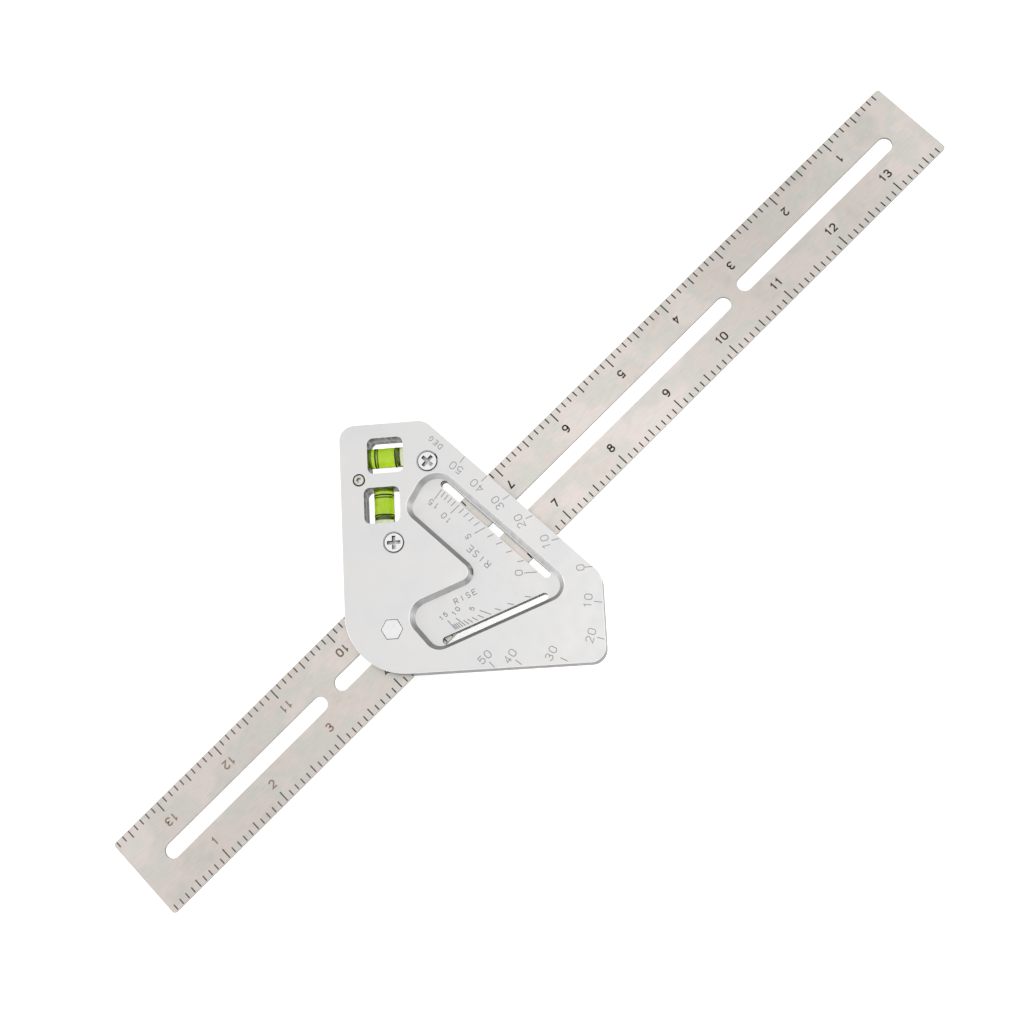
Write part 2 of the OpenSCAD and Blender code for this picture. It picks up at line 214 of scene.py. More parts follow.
class Material:
    """A Principled material with short ways to drive its sockets by object-space patterns."""

    def __init__(self, name, color, rough, metallic=0.0, **sockets):
        self.made = bpy.data.materials.new(name)
        self.made.use_nodes = True
        self.tree = self.made.node_tree
        self.shader = self.tree.nodes["Principled BSDF"]
        self.shader.inputs["Base Color"].default_value = (*color, 1)
        self.shader.inputs["Roughness"].default_value = rough
        self.shader.inputs["Metallic"].default_value = metallic
        for socket, value in sockets.items():
            self.shader.inputs[socket.replace("_", " ")].default_value = value
        self.coords = self.node("ShaderNodeTexCoord").outputs["Object"]

    def node(self, kind, **values):
        made = self.tree.nodes.new(kind)
        for key, value in values.items():
            if key in made.inputs:
                made.inputs[key].default_value = value
            else:
                setattr(made, key, value)
        return made

    def join(self, out, to):
        self.tree.links.new(out, to)

    def noise(self, scale, detail=3.0, stretch=(1, 1, 1), turn=0.0):
        """Noise in object space; scale is in features per metre along each axis."""
        place = self.node("ShaderNodeMapping")
        place.inputs["Scale"].default_value = stretch
        place.inputs["Rotation"].default_value = (0, 0, turn)
        self.join(self.coords, place.inputs["Vector"])
        made = self.node("ShaderNodeTexNoise", Scale=scale, Detail=detail)
        self.join(place.outputs["Vector"], made.inputs["Vector"])
        return made.outputs["Fac"]

    def ramp(self, value, stops):
        made = self.node("ShaderNodeValToRGB")
        elements = made.color_ramp.elements
        while len(elements) < len(stops):
            elements.new(0.5)
        for element, (at, color) in zip(elements, stops):
            element.position = at
            element.color = (*color, 1) if hasattr(color, "__len__") else (color, color, color, 1)
        self.join(value, made.inputs["Fac"])
        return made.outputs["Color"]

    def spread(self, value, low, high, start=0.3, end=0.7):
        """The value, mapped from start..end to low..high."""
        made = self.node("ShaderNodeMapRange")
        for key, number in (("From Min", start), ("From Max", end), ("To Min", low), ("To Max", high)):
            made.inputs[key].default_value = number
        self.join(value, made.inputs["Value"])
        return made.outputs["Result"]

    def mix(self, factor, one, other, kind="MIX"):
        made = self.node("ShaderNodeMix", data_type="RGBA", blend_type=kind)
        for socket, value in (("Factor", factor), ("A", one), ("B", other)):
            entry = [i for i in made.inputs if i.name == socket and i.enabled][0]
            if hasattr(value, "links"):
                self.join(value, entry)
            else:
                entry.default_value = (*value, 1) if hasattr(value, "__len__") else value
        return [o for o in made.outputs if o.enabled][0]

    def color_from(self, out):
        self.join(out, self.shader.inputs["Base Color"])

    def rough_from(self, out):
        self.join(out, self.shader.inputs["Roughness"])

    def bump(self, height, strength, distance):
        made = self.node("ShaderNodeBump", Strength=strength, Distance=distance)
        self.join(height, made.inputs["Height"])
        last = self.shader.inputs["Normal"]
        if last.links:
            self.join(last.links[0].from_socket, made.inputs["Normal"])
        self.join(made.outputs["Normal"], last)


def mottled(name, color, rough, metallic, grain, low, high):
    """A material whose tone wanders between low and high."""
    m = Material(name, color, rough, metallic)
    m.color_from(m.ramp(m.noise(grain, 3), [(0.3, low), (0.7, high)]))
    return m


def plate_material():
    """Satin blasted aluminium: a fine grain, cloudy tone and a few rubbed patches."""
    m = Material("satin_aluminium", (0.78, 0.78, 0.78), 0.42, 1.0)
    cloud = m.noise(60, 3)
    tone = m.ramp(cloud, [
        (0.30, (0.742, 0.742, 0.742)), (0.46, (0.765, 0.768, 0.765)), (0.60, (0.785, 0.770, 0.755)),
        (0.75, (0.800, 0.800, 0.800)),
    ])
    speck = m.ramp(m.noise(3200, 2), [(0.35, 0.965), (0.65, 1.0)])
    m.color_from(m.mix(1.0, tone, speck, "MULTIPLY"))
    m.rough_from(m.spread(m.noise(260, 4), 0.38, 0.52))
    m.bump(m.noise(5200, 2), 0.35, 0.00003)
    return m.made


def edge_material():
    """Smoother metal on the plates' broken edges, painted brighter than the plate as a highlight."""
    m = Material("painted_edge_highlight", (0.90, 0.90, 0.90), 0.26, 1.0)
    m.rough_from(m.spread(m.noise(600, 3), 0.20, 0.38))
    m.color_from(m.ramp(m.noise(380, 3), [(0.3, 0.84), (0.7, 0.93)]))
    return m.made


def by_facing(m, stops):
    """A ramp over the way a wall faces, from -X round by -Y, +X and +Y."""
    facing = m.node("ShaderNodeTexGradient", gradient_type="RADIAL")
    m.join(m.node("ShaderNodeTexCoord").outputs["Normal"], facing.inputs["Vector"])
    return m.ramp(facing.outputs["Fac"], stops)


def milled_lines(m, strength=0.5):
    """Tool lines that run round a wall, in roughness and bump."""
    lines = m.noise(1.0, 2, (500, 500, 9000))
    m.rough_from(m.spread(lines, 0.34, 0.52))
    m.bump(lines, strength, 0.00004)


def slope_material():
    """The pocket's milled slope, with light and shade painted into its colour by the way it faces, to match
    how the real one looks.

    Whether that comes from the metal or from the light isn't known."""
    m = Material("milled_slope_painted_shade", (0.42, 0.42, 0.42), 0.36, 0.25)
    tone = by_facing(m, [
        (0.00, 0.86), (0.125, 0.66), (0.25, 0.42), (0.36, 0.84), (0.44, 0.42), (0.50, 0.27),
        (0.62, 0.27), (0.75, 0.27), (0.875, 0.46), (1.00, 0.86),
    ])
    grain = m.ramp(m.noise(420, 4), [(0.28, 0.82), (0.55, 0.95), (0.78, 1.0)])
    m.color_from(m.mix(1.0, tone, grain, "MULTIPLY"))
    milled_lines(m)
    return m.made


def window_material():
    """Window walls, sawn rougher, darkened by painted shade, with streaks that run down them."""
    m = Material("sawn_wall_painted_shade", (0.20, 0.20, 0.20), 0.5, 1.0)
    m.color_from(m.ramp(m.noise(1.0, 4, (900, 900, 120)), [(0.25, 0.06), (0.5, 0.20), (0.75, 0.42)]))
    m.rough_from(m.spread(m.noise(700, 3), 0.40, 0.62))
    m.bump(m.noise(1.0, 3, (1500, 1500, 150)), 0.5, 0.00005)
    return m.made


def sight_material():
    """Walls of the sight slots, painted nearly black for the shade between the plates."""
    return mottled("sight_wall_painted_shade", (0.03, 0.03, 0.03), 0.7, 0.5, 900, 0.012, 0.05).made


def side_material():
    """The stock's outer sides, left as milled, painted dark for the shade they stand in."""
    m = Material("milled_side_painted_shade", (0.20, 0.20, 0.20), 0.4, 0.7)
    m.color_from(m.ramp(m.noise(500, 4), [(0.28, 0.13), (0.55, 0.19), (0.78, 0.26)]))
    milled_lines(m, 0.4)
    return m.made


# Broad tone along the blade: (X in mm, brightness against the brightest part). It is set to match how the
# real blade looks, so besides the steel's own tone it holds the light's falloff as painted light and shade.
BLADE_TONE_AND_SHADE = ((-105, 0.95), (-70, 0.90), (-25, 0.95), (60, 1.00), (105, 0.98), (135, 0.91), (175, 0.83),
               (205, 0.875), (232, 0.965))


def along_x(m, stops):
    """A ramp over the object's X; stops are (X in mm, tone)."""
    first, last = stops[0][0], stops[-1][0]
    split = m.node("ShaderNodeSeparateXYZ")
    m.join(m.coords, split.inputs["Vector"])
    reach = m.spread(split.outputs["X"], 0.0, 1.0, first * MM, last * MM)
    return m.ramp(reach, [((x - first) / (last - first), tone) for x, tone in stops])


def blade_material():
    """Steel brushed along the blade, with broad warm and cool stains, fine scratches and painted light and
    shade along its length.
    """
    m = Material("brushed_steel", (0.77, 0.74, 0.71), 0.36, 1.0)
    stain = m.ramp(
        m.noise(58, 4),
        [(0.30, (0.650, 0.640, 0.585)), (0.43, (0.770, 0.695, 0.650)), (0.52, (0.705, 0.690, 0.645)),
         (0.62, (0.815, 0.730, 0.690)), (0.76, (0.755, 0.745, 0.710))],
    )
    toned = m.mix(1.0, stain, along_x(m, BLADE_TONE_AND_SHADE), "MULTIPLY")
    brush = m.noise(1.0, 4, (260, 2800, 1))
    streak = m.ramp(brush, [(0.28, 0.89), (0.52, 0.965), (0.72, 1.0)])
    m.color_from(m.mix(1.0, toned, streak, "MULTIPLY"))
    m.rough_from(m.spread(m.noise(1.0, 3, (110, 1800, 1)), 0.30, 0.46))
    m.bump(brush, 0.25, 0.00002)
    m.bump(m.noise(1.0, 1, (60, 900, 1)), 0.14, 0.00003)
    return m.made


def ink_material(name, dark, faded, fade_from, fade_to):
    """Etched marks, dark where fresh and browner towards fade_to along X; rough and slightly uneven."""
    m = Material(name, dark, 0.62, 0.0)
    split = m.node("ShaderNodeSeparateXYZ")
    m.join(m.coords, split.inputs["Vector"])
    along = m.spread(split.outputs["X"], 0.0, 1.0, fade_from, fade_to)
    worn = m.mix(along, dark, faded)
    m.color_from(m.mix(m.spread(m.noise(900, 3), 0.0, 0.35, 0.45, 0.75), worn, faded))
    return m.made


def bright_material():
    """Bright nickel plate with fine turning lines and a little handling wear."""
    tone, rough = 0.93, 0.13
    m = mottled("bright_plate", (tone, tone, tone), rough, 1.0, 300, tone * 0.95, tone)
    m.rough_from(m.spread(m.noise(700, 4), rough * 0.8, rough * 1.9))
    m.bump(m.noise(2600, 2), 0.12, 0.00001)
    return m.made


def recess_material():
    """Painted shade inside a driver recess and on the dark rims round the bolt and screw heads."""
    return mottled("recess_shade", (0.02, 0.02, 0.018), 0.7, 0.3, 1500, 0.006, 0.035).made


def recess_floor_material():
    """The floor of a driver recess, with painted shade, lighter than on its walls."""
    return mottled("recess_floor", (0.60, 0.60, 0.58), 0.4, 0.9, 1300, 0.36, 0.85).made


def olive_shade_material():
    """The cap screw's rim and the inside of its socket."""
    dark, light = (0.03, 0.028, 0.02), (0.10, 0.09, 0.065)
    return mottled("olive_shade", (0.06, 0.055, 0.04), 0.5, 0.6, 1300, dark, light).made


def seat_material():
    """The dark ring between a screw head and its seat."""
    return mottled("seat_shade", (0.02, 0.02, 0.02), 0.7, 0.3, 1800, 0.006, 0.03).made


def warm_steel_material():
    """The cap screw's steel, yellower than the plated screws."""
    dark, light = (0.46, 0.44, 0.38), (0.88, 0.86, 0.80)
    m = mottled("warm_steel", (0.72, 0.70, 0.64), 0.34, 1.0, 1300, dark, light)
    m.rough_from(m.spread(m.noise(1500, 3), 0.26, 0.44))
    return m.made


def plain_metal(name, color, rough):
    """Lightly mottled metal with a fine grain."""
    grain = 900
    m = mottled(name, color, rough, 1.0, grain, [c * 0.86 for c in color], color)
    m.rough_from(m.spread(m.noise(grain * 1.7, 3), rough * 0.8, rough * 1.3))
    m.bump(m.noise(grain * 4, 2), 0.15, 0.00002)
    return m.made


def knob_material():
    """Black moulded plastic with a fine spark-eroded grain, polished a little by hands."""
    dark, light = (0.016, 0.016, 0.018), (0.034, 0.034, 0.036)
    m = mottled("knob_plastic", (0.022, 0.022, 0.024), 0.48, 0.0, 1200, dark, light)
    m.rough_from(m.spread(m.noise(300, 3), 0.40, 0.56))
    m.bump(m.noise(4200, 2), 0.6, 0.00005)
    return m.made


def acrylic_material():
    """Clear acrylic of the vials' barrels."""
    m = Material("clear_acrylic", (0.985, 1.0, 0.975), 0.02, 0.0, Transmission_Weight=1.0, IOR=1.49)
    m.rough_from(m.spread(m.noise(500, 3), 0.01, 0.05))
    return m.made


def fluid_material():
    """Yellow-green spirit. It hardly refracts by itself, because the barrel round it already does."""
    m = Material("vial_fluid", (0.60, 0.92, 0.05), 0.03, 0.0, Transmission_Weight=0.75, IOR=1.02)
    m.color_from(m.ramp(m.noise(160, 2), [(0.35, (0.52, 0.80, 0.020)), (0.65, (0.63, 0.87, 0.040))]))
    return m.made


def air_material():
    """The bubble, paler than the spirit."""
    m = Material("vial_air", (0.80, 0.84, 0.58), 0.03, 0.0, Transmission_Weight=0.85, IOR=1.12)
    m.rough_from(m.spread(m.noise(500, 2), 0.02, 0.06))
    return m.made


def meniscus_material():
    """The bubble's rim, painted dark for the shade it shows because it turns light away."""
    m = Material("bubble_rim_painted_shade", (0.05, 0.09, 0.01), 0.2, 0.0)
    m.color_from(m.ramp(m.noise(900, 2), [(0.35, (0.03, 0.06, 0.008)), (0.65, (0.10, 0.16, 0.02))]))
    return m.made


def plug_material():
    """Green plastic of the end plugs."""
    m = Material("plug_plastic", (0.40, 0.62, 0.08), 0.35, 0.0, Transmission_Weight=0.3)
    m.rough_from(m.spread(m.noise(700, 3), 0.28, 0.45))
    return m.made


def ring_material():
    """Black ink of the rings round a barrel."""
    m = Material("ring_ink", (0.008, 0.008, 0.008), 0.5, 0.0)
    m.rough_from(m.spread(m.noise(1500, 3), 0.42, 0.6))
    return m.made


def floor_material():
    """Pale floor, lit through like a light table, so that a cut-out photograph's white is matched."""
    m = mottled("pale_floor", (0.93, 0.93, 0.93), 0.9, 0.0, 40, 0.925, 0.945)
    m.shader.inputs["Emission Color"].default_value = (1, 1, 1, 1)
    m.shader.inputs["Emission Strength"].default_value = FLOOR_GLOW
    return m.made


# ------------------------------------------------------------------ mesh helpers

def link(name, mesh, *materials):
    made = bpy.data.objects.new(name, mesh)
    bpy.context.scene.collection.objects.link(made)
    for material in materials:
        mesh.materials.append(material)
    return made


def from_bmesh(name, bm, *materials):
    """An object from a bmesh, smooth but for sharp edges, with normals that keep its flat faces flat."""
    bmesh.ops.recalc_face_normals(bm, faces=bm.faces)
    mesh = bpy.data.meshes.new(name)
    bm.to_mesh(mesh)
    bm.free()
    made = link(name, mesh, *materials)
    mesh.shade_smooth()
    mesh.set_sharp_from_angle(angle=math.radians(SMOOTH_BELOW))
    weighted = made.modifiers.new("weighted", "WEIGHTED_NORMAL")
    weighted.keep_sharp = True
    ready = made.evaluated_get(bpy.context.evaluated_depsgraph_get())
    made.data = bpy.data.meshes.new_from_object(ready)
    made.modifiers.clear()
    made.data.name = name
    return made


def is_edge_on(z):
    """Chooses the edges that lie in the plane at height z."""
    return lambda edge: all(abs(v.co.z - z) < NEAR for v in edge.verts)


def softened(node, materials, choose=None, edge_slot=-1, paint=None):
    """A copy of a CAD node with its chosen sharp edges bevelled; it replaces the node."""
    width = BROKEN_EDGE_MM[node] * MM
    bm = bmesh.new()
    bm.from_mesh(nodes[node].data)
    bmesh.ops.remove_doubles(bm, verts=bm.verts, dist=SAME_POINT)
    bmesh.ops.dissolve_limit(bm, angle_limit=math.radians(FLAT_WITHIN), verts=bm.verts, edges=bm.edges)
    for face in bm.faces:
        face.material_index = 0
    least = math.radians(SHARP_FROM)
    sharp = [e for e in bm.edges if len(e.link_faces) == 2 and e.calc_face_angle() > least]
    picked = [e for e in sharp if choose is None or choose(e)]
    if picked and width > 0:
        bmesh.ops.bevel(
            bm, geom=picked, offset=width, offset_type="OFFSET", segments=2, profile=0.5,
            affect="EDGES", clamp_overlap=False, material=edge_slot,
        )
    if paint:
        bm.normal_update()
        for face in bm.faces:
            paint(face)
    piece = from_bmesh(node + "_finished", bm, *materials)
    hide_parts(node)
    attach(piece, nodes[node]["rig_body"])


# ------------------------------------------------------------------ marks: ticks, digits and a few letters

def arc(cx, cy, rx, ry, start, end, steps=12):
    """Points of an elliptical arc, in degrees, in a glyph's box of width and height 1."""
    turns = [math.radians(start + (end - start) * i / steps) for i in range(steps + 1)]
    return [(cx + rx * math.cos(t), cy + ry * math.sin(t)) for t in turns]


GLYPHS = {
    "0": [arc(0.5, 0.72, 0.5, 0.28, 0, 180) + arc(0.5, 0.28, 0.5, 0.28, 180, 360) + [(1.0, 0.72)]],
    "1": [[(0.18, 0.76), (0.55, 1.0), (0.55, 0.0)]],
    "2": [arc(0.5, 0.70, 0.48, 0.30, 165, -28) + [(0.0, 0.0), (1.0, 0.0)]],
    "3": [arc(0.48, 0.75, 0.44, 0.25, 160, -90) + arc(0.46, 0.26, 0.52, 0.26, 90, -165)[1:]],
    "4": [[(1.0, 0.28), (0.0, 0.28), (0.70, 1.0), (0.70, 0.0)]],
    "5": [[(0.92, 1.0), (0.14, 1.0), (0.06, 0.52)] + arc(0.47, 0.33, 0.51, 0.33, 132, -158)],
    "6": [arc(0.56, 0.62, 0.54, 0.38, 62, 180, 8) + arc(0.5, 0.31, 0.48, 0.31, 180, 540, 20)],
    "7": [[(0.0, 1.0), (1.0, 1.0), (0.38, 0.0)]],
    "8": [arc(0.5, 0.76, 0.42, 0.24, -90, 270, 18), arc(0.5, 0.27, 0.5, 0.27, 90, 450, 20)],
    "9": [arc(0.44, 0.38, 0.54, 0.38, 242, 360, 8) + arc(0.5, 0.69, 0.48, 0.31, 0, 360, 20)],
    "D": [[(0.0, 0.0), (0.0, 1.0), (0.45, 1.0)] + arc(0.45, 0.5, 0.55, 0.5, 90, -90) + [(0.0, 0.0)]],
    "E": [[(1.0, 1.0), (0.0, 1.0), (0.0, 0.0), (1.0, 0.0)], [(0.0, 0.52), (0.8, 0.52)]],
    "G": [arc(0.5, 0.5, 0.5, 0.5, 45, 350, 18) + [(1.0, 0.48), (0.55, 0.48)]],
    "R": [[(0.0, 0.0), (0.0, 1.0), (0.6, 1.0)] + arc(0.6, 0.75, 0.36, 0.25, 90, -90, 8) + [(0.0, 0.5)],
          [(0.5, 0.5), (1.0, 0.0)]],
    "I": [[(0.5, 0.0), (0.5, 1.0)]],
    "S": [arc(0.5, 0.75, 0.46, 0.25, 25, 270) + arc(0.5, 0.25, 0.48, 0.25, 90, -155)],
}
GLYPH_ASPECT = 0.72
MITRE_MOST = 2.0                 # a sharp joint of a strip reaches at most this many half widths


class Marks:
    """Thin raised strips gathered into one mesh on a face at height z.

    sign is 1 on a face that looks forward and -1 on one that looks back.
    """

    def __init__(self, z, sign=1):
        self.bm = bmesh.new()
        self.top = z + sign * MARK_PROUD
        self.bottom = z - sign * MARK_SUNK
        self.sign = sign

    def strip(self, points, width):
        """A closed strip of that width along a line of points, with mitred joints."""
        line = [Vector(p) for p in points]
        line = [p for i, p in enumerate(line) if i == 0 or (p - line[i - 1]).length > SAME_POINT]
        closed = len(line) > 3 and (line[0] - line[-1]).length < NEAR
        if closed:
            line = line[:-1]
        n = len(line)
        sides = []
        for i, p in enumerate(line):
            before = (p - line[i - 1]).normalized() if i or closed else None
            after = (line[(i + 1) % n] - p).normalized() if i < n - 1 or closed else None
            one, two = before or after, after or before
            across = (Vector((-one.y, one.x)) + Vector((-two.y, two.x))).normalized()
            stretch = 1 / max(across.dot(Vector((-one.y, one.x))), 1 / MITRE_MOST)
            reach = across * stretch * width / 2
            sides.append((p + reach, p - reach))
        heights = (self.bottom, self.top)
        rows = [[self.bm.verts.new((*q, z)) for q in pair for z in heights] for pair in sides]
        count = n if closed else n - 1
        for i in range(count):
            a, b = rows[i], rows[(i + 1) % n]
            for j, k in ((0, 1), (1, 3), (3, 2), (2, 0)):
                self.bm.faces.new((a[j], a[k], b[k], b[j]))
        if not closed:
            for row in (rows[0], rows[-1]):
                self.bm.faces.new((row[0], row[1], row[3], row[2]))

    def text(self, words, centre, up, height, width, gap):
        """Words of glyphs centred on a point; they read the right way round from outside the face.

        gap is the space between two glyphs over a glyph's width.
        """
        up = Vector(up).normalized()
        right = Vector((up.y, -up.x)) * self.sign
        glyph_w = height * GLYPH_ASPECT
        pitch = glyph_w * (1 + gap) + width * 0.5
        span, rise = glyph_w - width, height - width
        for i, letter in enumerate(words):
            middle = Vector(centre) + right * (i - (len(words) - 1) / 2) * pitch
            for stroke in GLYPHS[letter]:
                self.strip(
                    [middle + right * (x - 0.5) * span + up * (y - 0.5) * rise for x, y in stroke], width
                )

    def finish(self, name, material, body, slot):
        piece = from_bmesh(name, self.bm, material)
        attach(piece, body)


def rule_marks():
    """Inches and tenths along both edges of the blade; each edge counts from its own left end."""
    ticks, digits = Marks(BLADE_FACE), Marks(BLADE_FACE)
    tenths = int((blade_high.x - blade_low.x) / (INCH / 10))
    for side in (-1, 1):
        start = (blade_low.x if side < 0 else blade_high.x) + RULE_SHIFT
        edge = side * (BLADE_HALF_W - RULE_INSET)
        for k in range(1, tenths + 1):
            x = start - side * k * INCH / 10
            size = max(step for step in RULE_TICK_MM if k % step == 0)
            ticks.strip([(x, edge), (x, side * (BLADE_HALF_W - RULE_TICK_MM[size] * MM))], RULE_TICK_W)
            if size == 10:
                centre = (x, side * (BLADE_HALF_W - RULE_DIGIT_OFF))
                digits.text(str(k // 10), centre, (0, -side), RULE_DIGIT_H, RULE_DIGIT_W, RULE_DIGIT_GAP)
    tick_ink = ink_material("rule_tick_ink", (0.022, 0.016, 0.013), (0.10, 0.080, 0.065), -0.004, -0.045)
    digit_ink = ink_material("rule_digit_ink", (0.012, 0.009, 0.008), (0.27, 0.19, 0.13), -0.003, -0.030)
    ticks.finish("rule_ticks", tick_ink, "blade", "scale_marks")
    digits.finish("rule_digits", digit_ink, "blade", "scale_marks")


def blade_edge_point(angle, s_mm):
    """A point of the blade's upper edge, s along it, with the blade set at angle; u and v in mm."""
    a = math.radians(angle)
    half = BLADE_HALF_W / MM
    return -half * math.sin(a) + s_mm * math.cos(a), half * math.cos(a) + s_mm * math.sin(a)


def reach_of_line(angle, nu, nv, reach_mm):
    """How far along the blade's upper edge the line nu * u + nv * v = reach lies ahead, or infinity."""
    a = math.radians(angle)
    start = blade_edge_point(angle, 0)
    slope = nu * math.cos(a) + nv * math.sin(a)
    if slope <= 0:
        return math.inf
    return (reach_mm - nu * start[0] - nv * start[1]) / slope


def degree_marks(marks):
    """Degrees where the blade's upper edge leaves the stock, from 50 to the left round to 50 below."""
    lines = ((1, 1, SLOPE_REACH_MM), (1, 0, FENCE_END_MM), (0, -1, BOTTOM_FENCE_MM))
    for angle in range(-SCALE_LAST, SCALE_LAST + 1, SCALE_EVERY):
        shown = angle * (1 - SCALE_SHRINK) + SCALE_TURN
        edge = min(reach_of_line(shown, *line) for line in lines)
        a = math.radians(shown)
        back = SCALE_BACK_MM.get(angle, 0.0)
        ends = [stock_point(*blade_edge_point(shown, edge - back - d)) for d in SCALE_TICK_MM]
        marks.strip(ends, SCALE_TICK_W)
        label = SCALE_LABEL_MM.get(angle, SCALE_LABEL_USUAL_MM)
        centre = stock_point(*blade_edge_point(shown, edge - label))
        up = stock_dir(-math.cos(a), -math.sin(a))
        marks.text(str(abs(angle)), centre, up, SCALE_DIGIT_H, SCALE_DIGIT_W, SCALE_DIGIT_GAP)


def rise_angle(sign, k):
    """The angle at which the blade's upper edge reads a rise of k; sign is 1 above the fence, -1 below."""
    if sign < 0:
        return -math.degrees(math.atan(k / RISE_RUN))
    step = min(k // RISE_STEP, len(RISE_TANGENTS) - 2)
    low, high = RISE_TANGENTS[step:step + 2]
    return math.degrees(math.atan(low + (high - low) * (k / RISE_STEP - step)))


def rise_marks(marks):
    """Rises of 0 to 15 along the inner edge of each sight slot."""
    (u0, v0), (u1, v1) = LOWER_SIGHT_MM
    length = math.hypot(u1 - u0, v1 - v0)
    normal = ((v1 - v0) / length, -(u1 - u0) / length)
    lower_reach = normal[0] * u0 + normal[1] * v0 - SIGHT_HALF_W_MM
    upper_reach = UPPER_SIGHT_LINE_MM - SIGHT_HALF_W_MM * math.sqrt(2)
    # Each scale: above or below the fence, its first rise, its ticks' gap to the slot, the slot's edge.
    scales = ((1, 0, 0.5, (1, 1, upper_reach)), (-1, 2, 0.8, (*normal, lower_reach)))
    for sign, first, near, line in scales:
        for k in range(first, RISE_LAST + 1):
            angle = rise_angle(sign, k)
            u, v = blade_edge_point(angle, reach_of_line(angle, *line))
            a = math.radians(angle)
            along = (math.cos(a), math.sin(a))
            far = near + (RISE_LONG_MM if k % RISE_STEP == 0 else RISE_SHORT_MM)
            ends = [stock_point(u - d * along[0], v - d * along[1]) for d in (near, far)]
            marks.strip(ends, SCALE_TICK_W)
            if (sign, k) in RISE_LABELS_AT:
                centre = stock_point(*RISE_LABELS_AT[sign, k])
                size = RISE_DIGIT_MM[sign] if k else RISE_ZERO_MM
                up = stock_dir(-along[0], -along[1])
                marks.text(str(k), centre, up, size * MM, SCALE_DIGIT_W, RISE_DIGIT_GAP)


def word(marks, letters, at, up, height, gap):
    """A word of the stock's lettering; its place and way up are in the stock's directions."""
    marks.text(letters, stock_point(*at), stock_dir(*up), height * MM, SCALE_DIGIT_W, gap)


def stock_marks(name, face, sign):
    """The scales of one side of the stock: degrees on its face and rises on its pocket floors."""
    ink = ink_material(name + "_ink", (0.22, 0.22, 0.22), (0.36, 0.36, 0.36), 0.0, 0.09)
    outer = Marks(face, sign)
    degree_marks(outer)
    word(outer, *FACE_WORD)
    outer.finish(name + "_degrees", ink, "stock", "scale_marks")
    inner = Marks(face - sign * POCKET_DEPTH_MM * MM, sign)
    rise_marks(inner)
    for label in POCKET_WORDS:
        word(inner, *label)
    inner.finish(name + "_rises", ink, "stock", "scale_marks")


# ------------------------------------------------------------------ stock

# Material slots of the stock's plates, and of the screws.
SKIN, EDGE, SLOPE, WINDOW, SIGHT, SEAT, SIDE = range(7)
PLATING, SHADE, RECESS_FLOOR = range(3)

# How much of a face's normal points along Z.
LEVEL = 0.9
LEANING = 0.2
UPRIGHT = 0.5


def in_stock_mm(point):
    """A point of the frame in the stock's own directions, in millimetres."""
    a = math.radians(SET_ANGLE)
    c, s = math.cos(a), math.sin(a)
    return (point.x * c - point.y * s) / MM, (point.x * s + point.y * c) / MM


def inside(u, v, zone):
    return zone[0] < u < zone[1] and zone[2] < v < zone[3]


def near_screw(u, v):
    """Whether a place is within a screw's seat."""
    seats = [seat for node in SCREW_SEATS_MM.values() for seat in node]
    return any(math.hypot(u - x, v - y) < radius for (x, y), radius in seats)


def paint_plate(face):
    """Gives each face but the skin and the broken edges the slot of its kind of wall."""
    lean = abs(face.normal.z)
    if face.material_index == EDGE or lean > LEVEL:
        return
    u, v = in_stock_mm(face.calc_center_median())
    if near_screw(u, v):
        face.material_index = SEAT
    elif lean > LEANING:
        face.material_index = SLOPE
    elif inside(u, v, WINDOW_ZONE_MM):
        face.material_index = WINDOW
    elif inside(u, v, POCKET_ZONE_MM):
        face.material_index = SIGHT
    else:
        face.material_index = SIDE


def stock_plates():
    looks = (
        plate_material(), edge_material(), slope_material(), window_material(), sight_material(),
        seat_material(), side_material(),
    )
    for node, face in (("front_plate", FRONT_FACE), ("back_plate", BACK_FACE)):
        softened(node, looks, is_edge_on(face), EDGE, paint_plate)
    # The spacer between the plates is painted dark for the shade that falls between them.
    softened("spacer_plate", (plain_metal("mill_aluminium_painted_shade", (0.30, 0.30, 0.31), 0.42),))


def blade_piece():
    top, side = 0, 1

    def paint(face):
        face.material_index = side if abs(face.normal.z) < UPRIGHT else top

    # The upright faces, the blade's sides and slot walls, are painted dark for the shade they stand in.
    looks = (blade_material(), plain_metal("blade_side_painted_shade", (0.26, 0.24, 0.225), 0.45))
    softened("blade", looks, paint=paint)


def paint_recess(face):
    """Gives the walls and the floor of a driver recess their slots."""
    if face.material_index == SHADE:
        return
    depth = (FRONT_FACE - face.calc_center_median().z) / MM
    if abs(face.normal.z) < UPRIGHT and depth < RECESS_WALL_TO_MM:
        face.material_index = SHADE
    elif face.normal.z > LEVEL and depth > RECESS_FLOOR_FROM_MM:
        face.material_index = RECESS_FLOOR


def is_rim(node):
    """Chooses the edges on the front face that lie outside the screw's driver recess."""
    on_face = is_edge_on(FRONT_FACE)
    least = SCREW_RIM_FROM_MM[node]

    def choose(edge):
        u, v = in_stock_mm((edge.verts[0].co + edge.verts[1].co) / 2)
        return on_face(edge) and all(math.hypot(u - x, v - y) > least for (x, y), _ in SCREW_SEATS_MM[node])
    return choose


def fasteners():
    plated = (bright_material(), recess_material(), recess_floor_material())
    softened("pivot_bolt", plated[:2], is_edge_on(FRONT_FACE), SHADE)
    softened("cover_screws", plated, is_rim("cover_screws"), SHADE, paint_recess)
    warm = (warm_steel_material(), olive_shade_material(), warm_steel_material())
    softened("cap_screw", warm, is_rim("cap_screw"), SHADE, paint_recess)


